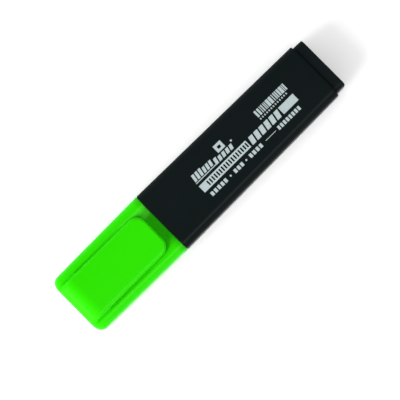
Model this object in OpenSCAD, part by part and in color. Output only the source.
// Flat highlighter pen with its cap on, lying on its back.
// X is the long axis: the cap's closed end is at -X and the end plug at +X.
// The flat back lies on Z = 0, and the clip and the printed face look up, along +Z.

/* [Body] */
// Length from the cap's closed end to the end plug's outer face
total_l = 122; // [118:0.5:126]
// Width where the cap meets the barrel
joint_w = 25.5; // [25:0.1:26]
// Depth where the cap meets the barrel
joint_d = 14.4; // [14.2:0.1:15]
// Width of the barrel at its rear rim
rear_w = 23.7; // [23.2:0.1:24.6]
// Depth of the barrel at its rear rim
rear_d = 13.4; // [13.2:0.1:14]
// Radius of the long edges
edge_r = 3; // [2.6:0.1:3.4]
// Wall of the barrel and of the cap
wall = 1.2; // [1:0.05:1.25]

/* [Cap] */
// Length of the cap
cap_l = 42.5; // [41:0.1:44]
// Width of the cap at its closed end
cap_end_w = 24.8; // [24.4:0.1:25.4]
// Depth of the cap at its closed end, beside the clip
cap_end_d = 13.6; // [13.2:0.1:14.2]
// Radius of the closed end's corners and edges
cap_end_r = 3; // [1.6:0.1:3]
// Depth of the trough in the cap's face under the clip
trough_d = 1.4; // [1:0.1:1.6]
// Width of the trough's floor
trough_floor_w = 9; // [8:0.5:12]
// Width of the trough at the cap's face
trough_w = 19.5; // [17.5:0.5:20]

/* [Clip] */
// Width of the clip
clip_w = 16.9; // [14.5:0.1:17.3]
// Height of the clip's top over the back
clip_top = 15.9; // [15.8:0.1:16.6]
// Distance from the clip's free end to the mouth of the cap
clip_short = 3.7; // [3:0.1:6]
// Thickness of the clip at its root
clip_root_t = 1.5; // [1.3:0.1:1.6]
// Thickness of the clip at its free end
clip_tip_t = 1.3; // [1.1:0.1:1.4]
// Corner radius of the clip's free end
clip_tip_r = 3.9; // [2:0.1:5]
// How far the clip dips between its root and its free end
clip_sag = 0.3; // [0.1:0.05:0.35]

/* [Writing end] */
// Width of the felt nib
nib_w = 5; // [4:0.1:5.5]
// Thickness of the felt nib
nib_t = 3.2; // [2.6:0.1:3.4]
// How far the nib stands out of the nose
nib_out = 9.6; // [8:0.1:10]
// Length of the neck that the cap slides over
neck_l = 6; // [5:0.1:7]
// Length of the oval nose in front of the neck
nose_l = 9; // [8:0.1:10]
// Width of the oval nose where it leaves the neck
nose_w = 11; // [10:0.1:12]
// Height of the oval nose where it leaves the neck
nose_h = 7; // [6.6:0.1:7.1]

/* [Ink] */
// Width of the fibre reservoir
reservoir_w = 18.4; // [17:0.1:18.6]
// Thickness of the fibre reservoir
reservoir_h = 9.2; // [8.4:0.1:9.2]
// Length of the fibre reservoir
reservoir_l = 53; // [48:0.5:54]
// Thickness of the film round the reservoir
film_t = 0.15; // [0.1:0.05:0.2]
// Outer diameter of the breather tube
breather_d = 1.6; // [1.2:0.1:1.8]

/* [End plug] */
// How far the end plug stands out of the barrel
plug_out = 4.2; // [3:0.1:5]
// Step from the barrel's outside in to the end plug's, all round
plug_step = 0.85; // [0.6:0.05:1]
// Length of the end plug's skirt inside the barrel
plug_skirt_l = 9; // [7:0.5:10]

/* [Hidden] */
$fn = 48;

// Steps in each rounded corner of a lofted ring
corner_steps = 8;
// Gap between pressed pieces
press_gap = 0.05;
// Gap between the cap and what it slides over
slide_gap = 0.2;
// Gap between the cap's mouth and the barrel's shoulder
mouth_gap = 0.1;
// Length by which a cutting tool runs past the face it cuts
past = 1;

// Stations along X
cap_end_x = -total_l / 2;
joint_x = cap_end_x + cap_l;
plug_end_x = total_l / 2;
rear_x = plug_end_x - plug_out;
neck_x = joint_x - neck_l;
nose_x = neck_x - nose_l;
nib_tip_x = nose_x - nib_out;

// Height of the nib's axis and of the reservoir's axis
axis_z = 6.5;
reservoir_z = 6.75;

// Clip stations: rear of its crown, root and free end
crown_x = cap_end_x + 6.5;
clip_root_x = cap_end_x + 9;
clip_tip_x = joint_x - clip_short;
// Where along the clip its dip is lowest, from 0 at the crown to 1 at the tip
sag_at = 0.6;
// Where the faces beside the clip start to fall towards the closed end
fall_x = cap_end_x + 8;
// Height of the edge where the clip and these faces meet the closed end
end_edge_z = cap_end_d - 1;

// Slope of the cap's face, in degrees
cap_slope = atan((joint_d - cap_end_d) / cap_l);

black = [0.09, 0.11, 0.11];
deep_black = [0.06, 0.07, 0.07];
neon_green = [0.18, 0.91, 0.03];
natural = [0.86, 0.9, 0.84];
ink_green = [0.45, 0.8, 0.05];

function mix(a, b, t) = a + (b - a) * t;
function clamp(t) = min(1, max(0, t));

// Barrel and cap sizes along X
function barrel_t(x) = (x - joint_x) / (rear_x - joint_x);
function barrel_w(x) = mix(joint_w, rear_w, barrel_t(x));
function barrel_d(x) = mix(joint_d, rear_d, barrel_t(x));
function cap_t(x) = (x - cap_end_x) / cap_l;
function cap_w(x) = mix(cap_end_w, joint_w, cap_t(x));
function cap_face_z(x) = mix(cap_end_d, joint_d, cap_t(x));

// Height lost towards the closed end, along a quarter ellipse from a station on
function end_fall(x, from_x, drop) =
    let (t = clamp((from_x - x) / (from_x - cap_end_x)))
        drop * (1 - sqrt(1 - t * t));

// Height of the clip's top: a crown at the closed end, then a shallow dip
function sag_fall(x) =
    let (t = clamp((x - crown_x) / (clip_tip_x - crown_x)))
        clip_sag * (1 - pow((t - sag_at) / sag_at, 2));
function clip_top_z(x) =
    clip_top - end_fall(x, crown_x, clip_top - end_edge_z) - sag_fall(x);
function clip_under_z(x) =
    let (t = (x - clip_root_x) / (clip_tip_x - clip_root_x))
        clip_top_z(x) - mix(clip_root_t, clip_tip_t, t);

// Height of the cap's face beside the clip
function cap_side_z(x) = cap_face_z(x) - end_fall(x, fall_x, cap_end_d - end_edge_z);

// Points of a rounded rectangle across X, from z0 up to z1
function ring(x, w, z0, z1, r) = [
    for (c = [[1, 1, 0], [-1, 1, 90], [-1, -1, 180], [1, -1, 270]])
        for (k = [0 : corner_steps])
            let (a = c[2] + 90 * k / corner_steps)
                [
                    x,
                    c[0] * (w / 2 - r) + r * cos(a),
                    (c[1] > 0 ? z1 - r : z0 + r) + r * sin(a)
                ]
];

// Ring centred on a height
function centred_ring(x, w, h, z, r) = ring(x, w, z - h / 2, z + h / 2, r);

// Ring with the greatest corner radius, for an oval
function oval_ring(x, w, h, z) = centred_ring(x, w, h, z, h / 2 - 0.1);

// Closed solid through a list of rings of equal length, in order of X
module loft(rings) {
    n = len(rings[0]);
    last = len(rings) - 1;
    sides = [
        for (i = [0 : last - 1])
            for (k = [0 : n - 1])
                let (
                    a = i * n + k,
                    b = i * n + (k + 1) % n,
                    c = b + n,
                    d = a + n
                )
                    each [[a, d, c], [a, c, b]]
    ];
    front = [for (k = [0 : n - 1]) k];
    back = [for (k = [n - 1 : -1 : 0]) last * n + k];
    polyhedron(points = [for (r = rings) each r], faces = concat([front], sides, [back]));
}

// Lays a flat outline across X and draws it out from x0 to x1
module along_x(x0, x1) {
    translate([x0, 0, 0]) rotate([90, 0, 90]) linear_extrude(x1 - x0) children();
}

// Flat rounded rectangle round a centre at height z
module rounded_outline(w, h, z, r) {
    translate([0, z]) {
        square([w - 2 * r, h], center = true);
        square([w, h - 2 * r], center = true);
        for (sy = [-1, 1], sz = [-1, 1])
            translate([sy * (w / 2 - r), sz * (h / 2 - r)]) circle(r);
    }
}

// Flat oval with half-round ends
module oval_outline(w, h, z) {
    translate([0, z]) {
        square([w - h, h], center = true);
        for (sy = [-1, 1])
            translate([sy * (w - h) / 2, 0]) circle(h / 2);
    }
}

// Tapered box of the barrel, shrunk by an inset all round
module barrel_box(x0, x1, inset) {
    loft([
        for (x = [x0, x1])
            ring(x, barrel_w(x) - 2 * inset, inset, barrel_d(x) - inset, edge_r - inset)
    ]);
}

// Ribs along the inside of the barrel that hold the reservoir
module barrel_ribs() {
    rib_t = 0.8;
    rib_y = 5;
    rib_x0 = joint_x + 12;
    rib_x1 = rear_x - plug_skirt_l - 2;
    half_h = reservoir_h / 2 + film_t + 2 * press_gap;
    rib_top = (barrel_d(rib_x0) - wall + barrel_d(rib_x1)) / 2;
    for (sy = [-1, 1])
        translate([rib_x0, sy * rib_y - rib_t / 2, 0]) {
            translate([0, 0, wall / 2])
                cube([rib_x1 - rib_x0, rib_t, reservoir_z - half_h - wall / 2]);
            translate([0, 0, reservoir_z + half_h])
                cube([rib_x1 - rib_x0, rib_t, rib_top - reservoir_z - half_h]);
        }
}

module barrel() {
    color(black) {
        difference() {
            barrel_box(joint_x, rear_x, 0);
            barrel_box(joint_x - past, rear_x + past, wall);
        }
        barrel_ribs();
    }
}

// Solid plug that fits inside the barrel from x0 to x1
module skirt(x0, x1, shrink) {
    barrel_box(x0, x1, wall + press_gap + shrink);
}

module end_plug() {
    head_x = rear_x + press_gap;
    skirt_x = rear_x - plug_skirt_l;
    head_w = rear_w - 2 * plug_step;
    head_h = rear_d - 2 * plug_step;
    head_r = edge_r - plug_step;
    head_z = rear_d / 2;
    face_t = 1.4;
    round_r = 0.4;
    rib_t = 1;
    rib_y = 4;
    color(deep_black) {
        difference() {
            union() {
                loft([
                    centred_ring(head_x, head_w, head_h, head_z, head_r),
                    centred_ring(plug_end_x - round_r, head_w - 0.2, head_h - 0.2, head_z, head_r),
                    for (a = [30, 60, 90])
                        let (inset = 0.1 + round_r * (1 - cos(a)))
                            centred_ring(
                                plug_end_x - round_r + round_r * sin(a),
                                head_w - 2 * inset,
                                head_h - 2 * inset,
                                head_z,
                                head_r - inset
                            )
                ]);
                skirt(skirt_x, head_x + press_gap, 0);
            }
            skirt(skirt_x - past, plug_end_x - face_t, wall);
        }
        for (sy = [-1, 1])
            translate([skirt_x, sy * rib_y - rib_t / 2, 2 * wall])
                cube([plug_end_x - face_t / 2 - skirt_x, rib_t, rear_d - 4 * wall]);
    }
}

module nib_holder() {
    plate_t = 1.4;
    skirt_l = 6;
    neck_w = joint_w - 2 * wall - 2 * slide_gap;
    neck_h = 9.8;
    neck_r = 3;
    neck_z = axis_z;
    bead_x = neck_x + neck_l / 2;
    bead_r = 0.5;
    bead_out = 0.1;
    guide_w = nib_w + 3.2;
    guide_h = nib_t + 3.2;
    tip_w = nose_w - 0.7;
    tip_h = nose_h - 0.7;
    nose_round = 0.6;
    vent_r = 0.6;
    vent_y = nose_w / 2 + 2.4;
    color(deep_black) {
        difference() {
            union() {
                // Skirt and front plate inside the barrel
                skirt(joint_x, joint_x + skirt_l, 0);
                // Neck under the cap
                along_x(neck_x, joint_x + plate_t / 2)
                    rounded_outline(neck_w, neck_h, neck_z, neck_r);
                // Snap ridges on the neck's narrow sides
                for (sy = [-1, 1])
                    translate([bead_x, sy * (neck_w / 2 + bead_out - bead_r), neck_z])
                        cylinder(h = neck_h - 2 * neck_r, r = bead_r, center = true);
                // Oval nose
                loft([
                    oval_ring(nose_x, tip_w - nose_round, tip_h - nose_round, axis_z),
                    oval_ring(nose_x + nose_round / 2, tip_w, tip_h, axis_z),
                    oval_ring(neck_x + plate_t / 2, nose_w, nose_h, axis_z)
                ]);
            }
            // Hollow of the skirt and of the neck
            skirt(joint_x + plate_t, joint_x + skirt_l + past, wall);
            along_x(neck_x + plate_t, joint_x + plate_t + past)
                rounded_outline(neck_w - 2 * wall, neck_h - 2 * wall, neck_z, neck_r - wall);
            // Slot for the nib
            along_x(nose_x - past, neck_x + plate_t + past)
                rounded_outline(nib_w + 2 * press_gap, nib_t + 2 * press_gap, axis_z, 0.8);
            // Air vent through the neck's front plate
            translate([neck_x - past, vent_y, axis_z])
                rotate([0, 90, 0]) cylinder(h = plate_t + 2 * past, r = vent_r);
        }
        // Guide tube behind the nose
        difference() {
            along_x(neck_x + plate_t / 2, joint_x + skirt_l)
                rounded_outline(guide_w, guide_h, axis_z, 1.8);
            along_x(neck_x, joint_x + skirt_l + past)
                rounded_outline(nib_w + 2 * press_gap, nib_t + 2 * press_gap, axis_z, 0.8);
        }
    }
}

// How far the nib reaches into the reservoir
nib_depth = 6;
reservoir_x0 = rear_x - plug_skirt_l - press_gap - reservoir_l;
reservoir_x1 = reservoir_x0 + reservoir_l;
nib_rear_x = reservoir_x0 + nib_depth;

module nib() {
    chisel_l = 4.6;
    slant = 1.7;
    edge_t = 1;
    corner = 0.8;
    color(ink_green)
        intersection() {
            along_x(nib_tip_x, nib_rear_x) rounded_outline(nib_w, nib_t, axis_z, corner);
            // Slanted writing edge, seen from above
            linear_extrude(2 * axis_z)
                polygon([
                    [nib_tip_x, -nib_w / 2],
                    [nib_tip_x + slant, nib_w / 2 + past],
                    [nib_rear_x, nib_w / 2 + past],
                    [nib_rear_x, -nib_w / 2 - past],
                    [nib_tip_x, -nib_w / 2 - past]
                ]);
            // Wedge, seen from the side
            translate([0, past + nib_w / 2, axis_z]) rotate([90, 0, 0])
                linear_extrude(nib_w + 2 * past)
                    polygon([
                        [nib_tip_x, -edge_t / 2],
                        [nib_tip_x, edge_t / 2],
                        [nib_tip_x + chisel_l, nib_t / 2],
                        [nib_rear_x, nib_t / 2],
                        [nib_rear_x, -nib_t / 2],
                        [nib_tip_x + chisel_l, -nib_t / 2]
                    ]);
        }
}

module ink_reservoir() {
    color(ink_green)
        difference() {
            along_x(reservoir_x0, reservoir_x1)
                oval_outline(reservoir_w, reservoir_h, reservoir_z);
            along_x(reservoir_x0 - past, nib_rear_x + press_gap)
                rounded_outline(nib_w + 2 * press_gap, nib_t + 2 * press_gap, axis_z, 0.8);
        }
}

module reservoir_film() {
    inner_w = reservoir_w + press_gap;
    inner_h = reservoir_h + press_gap;
    film_x0 = reservoir_x0 + 0.5;
    film_x1 = reservoir_x1 - 0.5;
    color(natural)
        difference() {
            along_x(film_x0, film_x1)
                oval_outline(inner_w + 2 * film_t, inner_h + 2 * film_t, reservoir_z);
            along_x(film_x0 - past, film_x1 + past)
                oval_outline(inner_w, inner_h, reservoir_z);
        }
}

module breather_tube() {
    // It lies against the film at the corner of the oval
    reach = reservoir_h / 2 + film_t + press_gap + breather_d / 2;
    tube_y = (reservoir_w - reservoir_h) / 2 + reach * cos(45);
    tube_z = reservoir_z - reach * sin(45);
    bore_d = breather_d - 0.6;
    tube_x0 = reservoir_x0 - 4;
    tube_x1 = reservoir_x1 - 1;
    color(natural)
        difference() {
            translate([tube_x0, tube_y, tube_z]) rotate([0, 90, 0])
                cylinder(h = tube_x1 - tube_x0, d = breather_d);
            translate([tube_x0 - past, tube_y, tube_z]) rotate([0, 90, 0])
                cylinder(h = tube_x1 - tube_x0 + 2 * past, d = bore_d);
        }
}

// Trough in the cap's face, or the solid that backs it when grow is the wall
module trough(grow) {
    side_grow = 0.4 * grow;
    rise = 4;
    floor_w = trough_floor_w + 2 * side_grow;
    top_w = trough_w + 2 * side_grow;
    side_run = (top_w - floor_w) / 2;
    depth = trough_d + grow;
    translate([cap_end_x, 0, cap_end_d]) rotate([0, -cap_slope, 0])
        along_x(clip_root_x - cap_end_x - grow, cap_l + past)
            polygon([
                [-floor_w / 2, -depth],
                [floor_w / 2, -depth],
                [floor_w / 2 + side_run, -grow],
                [floor_w / 2 + side_run, rise],
                [-floor_w / 2 - side_run, rise],
                [-floor_w / 2 - side_run, -grow]
            ]);
}

// Outside of the cap without the clip and its root
module cap_outside() {
    round_steps = 6;
    end_rings = [
        for (i = [0 : round_steps])
            let (
                a = 90 * i / round_steps,
                x = cap_end_x + cap_end_r * (1 - cos(a)),
                inset = cap_end_r * (1 - sin(a))
            )
                ring(x, cap_w(x) - 2 * inset, inset, cap_side_z(x), edge_r)
    ];
    fall_rings = [
        for (x = [cap_end_x + cap_end_r + 0.3 : 0.4 : fall_x + 0.1])
            ring(x, cap_w(x), 0, cap_side_z(x), edge_r)
    ];
    mouth_x = joint_x - mouth_gap;
    loft(concat(
        end_rings,
        fall_rings,
        [ring(mouth_x, cap_w(mouth_x), 0, cap_face_z(mouth_x), edge_r)]
    ));
}

// Side outline of the clip between two stations, with its top and its underside
module clip_profile(x0, x1, steps, under) {
    stations = [for (i = [0 : steps]) mix(x0, x1, 1 - cos(90 * i / steps))];
    polygon(concat(
        [for (x = stations) [x, clip_top_z(x)]],
        [
            for (i = [steps : -1 : 0])
                let (x = stations[i])
                    [x, under ? clip_under_z(x) : end_edge_z - 1.2]
        ]
    ));
}

module across_y(w) {
    translate([0, w / 2, 0]) rotate([90, 0, 0]) linear_extrude(w) children();
}

module cap_shell() {
    end_wall = 1.8;
    inner_x = cap_end_x + end_wall;
    color(neon_green)
        difference() {
            union() {
                cap_outside();
                // Root of the clip, moulded on the closed end
                across_y(clip_w) clip_profile(cap_end_x, clip_root_x, 12, false);
            }
            trough(0);
            difference() {
                loft([
                    for (x = [inner_x, joint_x + past])
                        ring(x, cap_w(x) - 2 * wall, wall, cap_face_z(x) - wall, edge_r - wall)
                ]);
                trough(wall);
            }
        }
}

module inner_cap() {
    sleeve_wall = 0.8;
    bore_w = nose_w + 2 * slide_gap;
    bore_h = nose_h + 2 * slide_gap;
    sleeve_w = bore_w + 2 * sleeve_wall;
    sleeve_h = bore_h + 2 * sleeve_wall;
    sleeve_x0 = cap_end_x + 1.8 + press_gap;
    sleeve_x1 = neck_x - 0.3;
    seal_x = nib_tip_x - 5.6;
    seal_t = 1.1;
    fin_t = 1;
    fin_l = 14;
    fin_reach = cap_w(sleeve_x0) / 2 - wall - press_gap;
    color(natural)
        difference() {
            union() {
                along_x(sleeve_x0, sleeve_x1) oval_outline(sleeve_w, sleeve_h, axis_z);
                // Fins that centre the sleeve between the cap's sides
                translate([sleeve_x0, -fin_reach, axis_z - fin_t / 2])
                    cube([fin_l, 2 * fin_reach, fin_t]);
            }
            along_x(seal_x, sleeve_x1 + past) oval_outline(bore_w, bore_h, axis_z);
            along_x(sleeve_x0 - past, seal_x - seal_t) oval_outline(bore_w, bore_h, axis_z);
        }
}

module clip() {
    root_x = clip_root_x + press_gap;
    clip_l = clip_tip_x - root_x;
    bead_x = clip_tip_x - 3.6;
    bead_r = 0.9;
    bead_w = 9;
    color(neon_green) {
        intersection() {
            across_y(clip_w) clip_profile(root_x, clip_tip_x, 24, true);
            // Tongue with a rounded free end, seen from above
            linear_extrude(2 * clip_top) {
                translate([root_x, -clip_w / 2]) square([clip_l - clip_tip_r, clip_w]);
                translate([root_x, clip_tip_r - clip_w / 2]) square([clip_l, clip_w - 2 * clip_tip_r]);
                for (sy = [-1, 1])
                    translate([clip_tip_x - clip_tip_r, sy * (clip_w / 2 - clip_tip_r)])
                        circle(clip_tip_r);
            }
        }
        // Grip bead under the free end
        translate([bead_x, 0, clip_under_z(bead_x) + 0.1]) rotate([90, 0, 0])
            cylinder(h = bead_w, r = bead_r, center = true);
    }
}

barrel();
end_plug();
nib_holder();
nib();
ink_reservoir();
reservoir_film();
breather_tube();
cap_shell();
inner_cap();
clip();
